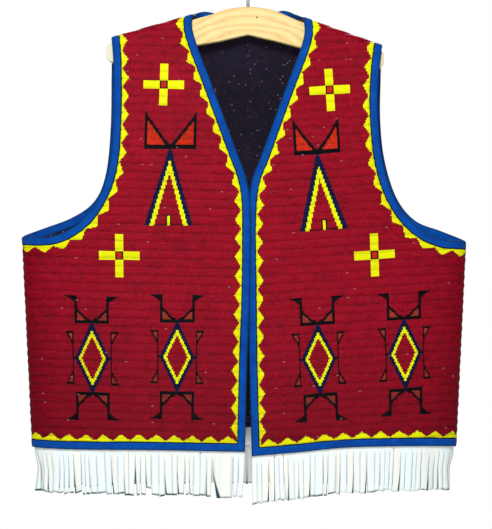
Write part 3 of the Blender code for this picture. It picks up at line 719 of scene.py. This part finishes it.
def paintTipi(colours, u, v, sizes):
    w, down = np.abs(u + v * sizes["lean"]), -v
    tall = sizes["tall"]
    within = (down > 0) & (down < tall)
    for part, name in bands:
        start, slope = sizes[part]
        colours[within & (w < (down - start) * slope)] = palette[name]
    colours[within & (down > tall - sizes["sill"]) & (w < (down - start) * slope)] = palette["black"]
    half, height = sizes["door"]
    rim, w = sizes["doorRim"], np.abs(u - tall * sizes["lean"])
    colours[within & (w < half + rim) & (down > tall - height - rim)] = palette["black"]
    colours[within & (w < half) & (down > tall - height)] = palette["yellow"]
    paintWing(colours, np.abs(u), v - beadCell[1], sizes["wing"], sizes["line"], "orange")


def paintFigure(colours, u, v, sizes):
    w, h = np.abs(u), np.abs(v)
    line = sizes["line"]
    paintWing(colours, w, h - sizes["wingLow"], sizes["wing"], line, "rust")
    reach, rise, power = sizes["wing"]
    wingTop = sizes["wingLow"] + rise
    flagOut, flagTop = sizes["flag"]
    colours[(w > reach - line) & (w < reach) & (h > wingTop - line) & (h < flagTop)] = palette["black"]
    share = (w - reach + line) / (flagOut - reach + line)
    low = sizes["stem"] + share * (flagTop - sizes["stem"])
    colours[(share > 0) & (share < 1) & (h < flagTop) & (h > low)] = palette["black"]
    post = sizes["bracket"]
    handOut, handTop, handLow = sizes["hand"]
    colours[(np.abs(w - post) < line / 2) & (h < handTop)] = palette["black"]
    colours[(w < post) & (w > sizes["navy"][0] - line) & (h < line * 0.6)] = palette["black"]
    share = (w - post) / (handOut - post)
    thin, low = sizes["thin"], handLow + share * (handTop - handLow)
    hand = (share > 0) & (share < 1) & (h < handTop) & (h > low)
    colours[hand] = palette["black"]
    inner = hand & (h < handTop - thin) & (h > low + thin * 2.6)
    colours[inner & (w > post + thin * 0.7)] = palette["rust"]
    for part, name in bands:
        half, tall = sizes[part]
        colours[w / half + h / tall < 1] = palette[name]


# Whole teeth along an edge; those of a front stop short of its corner and start anew from it
def toothWave(key, line, along):
    legs, lengths = edges[key][0], lengthsAlong(line)
    stops, turns = [0.0], [0]
    if len(legs) == 2:
        corner = lengths[len(legs[0]) - 1]
        count = int((corner - teeth["start"]) / teeth["frontPeriod"])
        stops = [teeth["start"], teeth["start"] + count * teeth["frontPeriod"], corner]
        turns = [0, count, count]
    turns.append(turns[-1] + round((lengths[-1] - stops[-1]) / teeth["period"]))
    stops.append(lengths[-1])
    return 1 - np.abs(2 * (np.interp(along, stops, turns) % 1) - 1)


# One colour for each bead, from its middle on the flat panel
def chartColours(lanes, flat, face, side):
    colours = np.tile(palette["red"], (len(lanes), 1))
    if face == front:
        for name, draught in (("cross", paintCross), ("tipi", paintTipi), ("figure", paintFigure)):
            sizes = {**motifs[name], **motifs[name].get("own", {}).get(side, {})}
            for middle in sizes[side]:
                across, level = np.rint(np.array(middle) / beadCell) * beadCell
                draught(colours, lanes[:, 0] - across, lanes[:, 1] - level, sizes)
    for key in panelEdges(face, side):
        line = insetLine(key, vest["binding"])
        inside, along = nearest(flat, line, edges[key][1])
        toothed = inside < teeth["foot"] + teeth["rise"] * toothWave(key, line, along)
        colours[toothed & ~pastEnds(line, along)] = palette["yellow"]
    return colours


# Lanes of beads on the hide; their last beads sink under the binding and into the seams
beadwork = {
    "foot": 0.0003, "rise": 0.0014, "uneven": 0.00018, "waver": 0.00035, "mottle": 0.18,
    "under": 0.003, "sunk": 0.0010, "sinkStart": 0.0005, "sinkRun": 0.0014,
}


def addBeads(name, face, side, node, half=None):
    margin = vest["binding"] - beadwork["under"]
    mesh, lanes, slope = panelMesh(name, face, side, beadCell, margin, half)
    addUvs(mesh, lanes / beadCell)
    flat = stayInSeams(fromLanes(lanes, slope))
    phase = (lanes[:, 1] / beadLook["lane"]) % 1
    arch = 1 - np.abs(2 * phase - 1) ** 3
    lift = vest["hide"] + beadwork["foot"] + beadwork["rise"] * arch
    lift += draw.uniform(-beadwork["uneven"], beadwork["uneven"], len(lift)) * arch
    depth, run = depthInside(flat, face, side), beadwork["sinkRun"]
    sinking = ease((vest["binding"] + beadwork["sinkStart"] - depth) / run)
    seamGap = np.minimum(sideGirth - np.abs(flat[:, 0]), ridgeAt(flat[:, 0]) - flat[:, 1])
    sinking = np.maximum(sinking, ease((run - seamGap) / run))
    lift = lift * (1 - sinking) + beadwork["sunk"] * sinking

    # no lane runs quite straight
    moved, (u, v) = lanes.copy(), lanes.T
    waver = np.sin(u * 41 + v * 60) + np.sin(u * 97 - v * 133) * 0.6
    moved[:, 1] += beadwork["waver"] * waver * (1 - sinking)
    places, outward = hangOff(stayInSeams(fromLanes(moved, slope)), lift, face, side)
    setPlaces(mesh, places, outward)

    # one face is one bead, with its colour on its four corners
    middles = lanes[cornerVerts(mesh)].reshape(-1, 4, 2).mean(axis=1)
    colours = chartColours(middles, fromLanes(middles, slope), face, side)
    mottle = beadwork["mottle"] * (1 - 0.7 * colours[:, 1:2])
    colours[:, :3] *= 1 + mottle * draw.uniform(-1, 1, (len(colours), 1))
    layer = mesh.color_attributes.new(name="beads", type="FLOAT_COLOR", domain="CORNER")
    layer.data.foreach_set("color", np.repeat(colours, 4, axis=0).astype(np.float32).ravel())
    return addPiece(name, mesh, "beads", [node])


# Moves the stepped border of a wall's cells onto its margin
def trimBorder(mesh, flat, face, side, cell, margin, reach=0.0002):
    faceCounts = np.bincount(cornerVerts(mesh), minlength=len(flat))
    rim = (faceCounts < 4) & (np.abs(depthInside(flat, face, side) - margin) < cell)
    points = flat[rim]
    depth = depthInside(points, face, side)
    rises = [depthInside(points + shift, face, side) - depth for shift in ((reach, 0), (0, reach))]
    slope = np.stack(rises, axis=1) / reach
    flat[rim] -= slope * ((depth - margin) / np.maximum((slope**2).sum(axis=1), 0.5))[:, None]


# Each wall's margin inside the bound edges, and its outer face off the inside of the solid
walls = {
    "cell": 0.0045,
    "hide": {"margin": 0.0048, "outside": 0.00125, "thick": 0.0012, "slot": "fringe_hide"},
    "lining": {"margin": 0.0104, "outside": -0.0006, "thick": 0.0006, "slot": "lining_cloth"},
}


def addWall(name, paint, face, side, node):
    look = walls[paint]
    cell, margin = walls["cell"], look["margin"]
    mesh, lanes, slope = panelMesh(name, face, side, (cell, cell), margin)
    flat = fromLanes(lanes, slope)
    trimBorder(mesh, flat, face, side, cell, margin)
    flat = stayInSeams(flat)
    places, outward = hangOff(flat, np.full(len(flat), look["outside"]), face, side)
    setPlaces(mesh, places, outward)
    piece = addPiece(name, mesh, paint, [node])
    thicken(piece, look["thick"])
    return piece


pieces = {}
for side in (right, left):
    word = words[side]
    node = f"front_{word}"
    pieces["beads", word] = addBeads(f"beadwork_front_{word}", front, side, node)
    pieces["hide", word] = addWall(f"hide_front_{word}", "hide", front, side, node)
    pieces["backBeads", word] = addBeads(f"beadwork_back_{word}", back, None, "back", half=side)
    print("beadwork", word, "made")
pieces["hide", "back"] = addWall("hide_back", "hide", back, None, "back")
pieces["lining"] = addWall("lining_back_cloth", "lining", back, None, "lining_back")
print("hide and lining made")


# Across the folded strip, from inside round to outside: share of its width from the edge, and lift
bindingLook = {
    "profile": ((0.97, -0.0003), (0.75, -0.0006), (0.40, -0.0006), (0.12, -0.0005), (0.01, -0.0001),
                (-0.03, 0.0007), (-0.02, 0.0016), (0.05, 0.0024), (0.18, 0.0028), (0.40, 0.0029),
                (0.65, 0.0029), (0.86, 0.0027), (0.96, 0.0022), (1.01, 0.0013)),
    "foldRow": 5, "thick": 0.0004, "pucker": 0.00016,
}


def addBinding(node, key, face, side):
    name = f"{node}_cloth"
    outer, inner = edgeLine(key), insetLine(key, vest["binding"])
    profile = np.array(bindingLook["profile"])
    columns, rows = len(outer) - 1, len(profile) - 1
    bm = bmesh.new()
    bmesh.ops.create_grid(bm, x_segments=columns, y_segments=rows, size=1)
    mesh = makeMesh(name, bm)
    grid = vertsOf(mesh)
    station = np.rint((grid[:, 0] + 1) / 2 * columns).astype(int)
    row = np.rint((grid[:, 1] + 1) / 2 * rows).astype(int)
    share, lift = profile[row, 0][:, None], profile[row, 1]
    along = lengthsAlong(outer)[station]
    flat = outer[station] * (1 - share) + inner[station] * share
    flat[:, 1] = np.minimum(flat[:, 1], ridgeAt(flat[:, 0]) - vest["seam"] / 4)
    pucker = np.sin(along * 700 + share[:, 0] * 3) + np.sin(along * 1130 + 1) * 0.7 + np.sin(along * 260)
    places, outward = hangOff(flat, lift + bindingLook["pucker"] * pucker * (lift > 0.001), face, side)
    outside = np.where(row[:, None] > rows / 2, outward, -outward)
    setPlaces(mesh, places, outside)
    across = np.where(row > bindingLook["foldRow"], profile[row, 0], -profile[row, 0])
    addUvs(mesh, np.stack([along, across], axis=1))
    piece = addPiece(name, mesh, "binding", [node])
    thicken(piece, bindingLook["thick"])
    return piece


pieces["bindings", "back"] = [
    addBinding("binding_neck_back", "neck_back", back, None),
    addBinding("binding_hem_back", "hem_back", back, None),
]
for side in (right, left):
    word = words[side]
    pieces["bindings", word] = [
        addBinding(f"binding_front_{word}", ("front", side), front, side),
        addBinding(f"binding_armhole_front_{word}", ("armhole", front, side), front, side),
    ]
    pieces["bindings", "back"].append(
        addBinding(f"binding_armhole_back_{word}", ("armhole", back, side), back, side))
print("bindings made")


# The fringe is one strip of hide, sewn behind the hem and slit into strands
fringeLook = {
    "pitch": 0.0080, "vary": 0.42, "slit": 0.0001, "uncut": 0.008, "slitTops": 0.0026,
    "outside": -0.0010, "thick": 0.0011, "across": 4, "down": 14, "open": 0.0003, "lean": 0.0018,
    "uneven": 0.0007, "slant": 0.0006, "bend": 0.0010, "bow": 0.0005, "twist": 0.14, "turned": 0.8,
    "turnedPart": 0.05, "wide": 6, "widePart": 0.07, "openMost": 0.25, "drawIn": 0.0055,
}
# Mean lengths at the centre and at the side, and what single strands do: where they start along the hem,
# their width, how far the two edges draw in, what is added to the length, and the twist
fringes = {
    (front, right): {
        "lengths": (0.0500, 0.0490), "sewn": 0.008, "lastTwists": (0.5, -0.9, 0.8),
        "lastBends": (0.001, -0.001, 0.002),
        "own": ((0.0, 0.0085, 0.0030, 0.0008, 0.001, 0.1), (0.0085, 0.0068, 0.0008, 0.0003, 0.0, 0.5),
                (0.0153, 0.0290, 0.0003, 0.0078, 0.002, 0.12),
                (0.126, 0.0075, 0.0004, 0.0006, -0.0085, 0.1)),
    },
    (front, left): {"lengths": (0.0535, 0.0485), "sewn": 0.008,
                    "own": ((0.0, 0.0070, 0.0002, 0.0004, 0.001, 0.1),)},
    back: {"lengths": (0.0450, 0.0495), "sewn": 0.020, "own": ()},
}


# Widths of the strands along a hem, with the listed ones in their places
def strandCuts(total, own):
    cuts, chosen = [0.0], {}
    for start, width, *ways in [*own, (total, 0.0)]:
        free = start - cuts[-1]
        count = max(round(free / fringeLook["pitch"]), 1 if free > 0.002 else 0)
        if count:
            widths = 1 + draw.uniform(-fringeLook["vary"], fringeLook["vary"], count)
            cuts.extend(cuts[-1] + np.cumsum(widths) * free / widths.sum())
        if ways:
            chosen[len(cuts) - 1] = ways
            cuts.append(cuts[-1] + width)
    return np.array(cuts), chosen


def addFringe(node, hem, wanted, face, side):
    name, look = f"{node}_strands", fringeLook
    total = lengthsAlong(hem)[-1]
    cuts, chosen = strandCuts(total, wanted["own"])
    count, perStrand, upper = len(cuts) - 1, look["across"] + 1, 3
    columns, rows = count * perStrand - 1, upper + look["down"]
    bm = bmesh.new()
    bmesh.ops.create_grid(bm, x_segments=columns, y_segments=rows, size=1)
    slits = []
    for cell in bm.faces:
        middle = cell.calc_center_median()
        column, row = int((middle.x + 1) / 2 * columns), int((1 - middle.y) / 2 * rows)
        if column % perStrand == look["across"] and row >= upper:
            slits.append(cell)
    bmesh.ops.delete(bm, geom=slits, context="FACES")
    mesh = makeMesh(name, bm)
    grid = vertsOf(mesh)
    column = np.rint((grid[:, 0] + 1) / 2 * columns).astype(int)
    row = np.rint((1 - grid[:, 1]) / 2 * rows).astype(int)
    strand = column // perStrand
    part = column % perStrand / look["across"]

    # each strand has its own drawn-in edges, length, bend and twist
    opens = draw.exponential(look["open"], (2, count))
    opens *= np.where(draw.random((2, count)) < look["widePart"], look["wide"], 1)
    opens = np.minimum(opens, look["openMost"] * np.diff(cuts))
    longer, slant = draw.normal(0, look["uneven"], count), draw.normal(0, look["slant"], count)
    bend, twist = draw.normal(0, look["bend"], count), draw.normal(0, look["twist"], count)
    twist[draw.random(count) < look["turnedPart"]] = look["turned"]
    for index, ways in chosen.items():
        opens[0, index], opens[1, index], longer[index], twist[index] = ways
    if "lastTwists" in wanted:
        twist[-3:], bend[-3:] = wanted["lastTwists"], wanted["lastBends"]
    down = np.clip((row - upper) / look["down"], 0, 1)
    near = cuts[strand] + look["slit"] / 2 + opens[0, strand] * down**1.3
    far = cuts[strand + 1] - look["slit"] / 2 - opens[1, strand] * down**1.3
    half, middle = (far - near) / 2, (far + near) / 2
    angle = twist[strand] * down**1.5
    across = part * 2 - 1
    ends = np.sin(np.pi * np.clip(middle / total, 0, 1)) ** 0.5
    sway = np.sin(middle * 21 + 1) + np.sin(middle * 53) * 0.6
    along = middle + half * across * np.cos(angle) + sway * look["lean"] * ends * down**1.4
    root = walk(hem, np.clip(along, 0, total))
    sideShare = np.clip(np.abs(root[:, 0]) / sideGirth, 0, 1)
    centreLength, sideLength = wanted["lengths"]
    length = centreLength + (sideLength - centreLength) * sideShare
    length = length + longer[strand] + slant[strand] * across
    tops = draw.normal(0, look["slitTops"], count + 1)
    uncut = look["uncut"] + tops[strand] * (1 - part) + tops[strand + 1] * part
    above = np.interp(row, [0, 1, 2, 3], [wanted["sewn"], 0.0, -look["uncut"] * 0.5, 0.0])
    level = np.where(row < upper, above, -uncut - down * (length + look["uncut"] - uncut))
    flat = np.stack([root[:, 0], root[:, 1] + level], axis=1)
    lift = look["outside"] + bend[strand] * down**1.5 + half * across * np.sin(angle)
    lift += look["bow"] * (1 - across**2) * down**0.5
    places, outward = hangOff(flat, lift, face, side)
    places[:, 0] -= look["drawIn"] * np.sign(places[:, 0]) * sideShare**8 * ease(down * 2)
    setPlaces(mesh, places, outward)
    layer = mesh.attributes.new(name="strand", type="FLOAT_VECTOR", domain="POINT")
    values = np.stack([across, down, strand + 0.5], axis=1)
    layer.data.foreach_set("vector", values.astype(np.float32).ravel())
    piece = addPiece(name, mesh, "fringe", [node])
    thicken(piece, look["thick"])
    return piece


for side in (right, left):
    word, hem = words[side], edges["front", side][0][1]
    pieces["fringe", word] = addFringe(f"fringe_front_{word}", hem, fringes[front, side], front, side)
pieces["fringe", "back"] = addFringe("fringe_back", edgeLine("hem_back"), fringes[back], back, None)
print("fringe made")


# The hanger's board is the CAD solid, with a grained wood on it
hook = {"wire": 0.002, "inside": 0.015, "start": -58, "end": 212, "shank": -0.040, "stem": 0.012,
        "crest": -0.0615}
nail = {"x": 0.0117, "z": -0.0752, "board": -0.0065, "head": 0.0011, "proud": 0.0006}
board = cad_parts["hanger_board"]
board.data.materials.clear()
board.data.materials.append(paints["wood"])


def addHook():
    radius = hook["inside"] + hook["wire"]
    crest, shank = hook["crest"], hook["shank"]
    route = [(0, crest - hook["stem"]), (0, crest), (0, shank), (0, shank + 0.003)]
    for angle in np.linspace(hook["start"], hook["end"], 40):
        turn = math.radians(angle)
        route.append((radius * math.cos(turn), radius * math.sin(turn) - hook["inside"]))
    curve = bpy.data.curves.new("hook", "CURVE")
    curve.dimensions = "3D"
    curve.bevel_depth = hook["wire"]
    curve.bevel_resolution = 4
    curve.use_fill_caps = True
    spline = curve.splines.new("POLY")
    spline.points.add(len(route) - 1)
    for point, (x, z) in zip(spline.points, route):
        point.co = (x, 0, z, 1)
    shape = addObject("hook", curve)
    mesh = bpy.data.meshes.new_from_object(shape.evaluated_get(bpy.context.evaluated_depsgraph_get()))
    bpy.data.objects.remove(shape)
    mesh.materials.clear()
    piece = addPiece("hanger_hook_wire", mesh, "wire", ["hanger_hook"])
    mesh.set_sharp_from_angle(angle=math.radians(50))  # the cut end stays crisp
    return piece


def addNail():
    bm = bmesh.new()
    bmesh.ops.create_uvsphere(bm, u_segments=20, v_segments=12, radius=nail["head"])
    bmesh.ops.scale(bm, vec=(1, nail["proud"] / nail["head"], 1), verts=bm.verts)
    bmesh.ops.translate(bm, vec=(nail["x"], nail["board"], nail["z"]), verts=bm.verts)
    return addPiece("hanger_nail", makeMesh("hanger_nail", bm), "nail")


addHook()
addNail()
print("hanger made")

# Stage, light and camera
studio = {"floor": -1.25, "size": 2.2, "glow": 0.15, "background": 1.0, "ambient": 0.22}


def addFloor():
    bm = bmesh.new()
    bmesh.ops.create_circle(bm, cap_ends=True, segments=64, radius=studio["size"])
    bmesh.ops.translate(bm, vec=(0, 0, studio["floor"]), verts=bm.verts)
    mesh = makeMesh("studio_floor", bm)
    mesh.materials.append(stagePaint())
    addObject("studio_floor", mesh)


def addLight(name, place, target, size, power):
    lamp = bpy.data.lights.new(name, "AREA")
    lamp.shape, lamp.size, lamp.energy = "DISK", size, power
    light = addObject(name, lamp)
    light.location = place
    aim = Vector(target) - Vector(place)
    light.rotation_euler = aim.to_track_quat("-Z", "Y").to_euler()


def lightWorld():
    world = bpy.data.worlds.new("studio")
    bpy.context.scene.world = world
    world.use_nodes = True
    nodes, links = world.node_tree.nodes, world.node_tree.links
    plain, shown = nodes["Background"], nodes.new("ShaderNodeBackground")
    for sky, strength in ((plain, studio["ambient"]), (shown, studio["background"])):
        sky.inputs["Color"].default_value = (1, 1, 1, 1)
        sky.inputs["Strength"].default_value = strength
    path, mixed = nodes.new("ShaderNodeLightPath"), nodes.new("ShaderNodeMixShader")
    links.new(path.outputs["Is Camera Ray"], mixed.inputs[0])
    links.new(plain.outputs[0], mixed.inputs[1])
    links.new(shown.outputs[0], mixed.inputs[2])
    links.new(mixed.outputs[0], nodes["World Output"].inputs[0])


addFloor()
lightWorld()
addLight("key", (-0.25, -1.9, 1.0), (0, 0, -0.30), 0.7, 42)
addLight("fill", (0.03, -2.9, -0.3), (0, 0, -0.35), 0.5, 15)
addLight("rear", (0.5, 2.4, 1.2), (0, 0, -0.35), 1.6, 75)

view = {"place": (-0.0026, -2.6, -0.3957), "lens": 136.1}
camera = addObject("camera", bpy.data.cameras.new("camera"))
camera.location = view["place"]
camera.rotation_euler = (math.pi / 2, 0, 0)
camera.data.lens = view["lens"]
bpy.context.scene.camera = camera
bpy.context.scene.view_settings.view_transform = "Standard"
print("stage made")
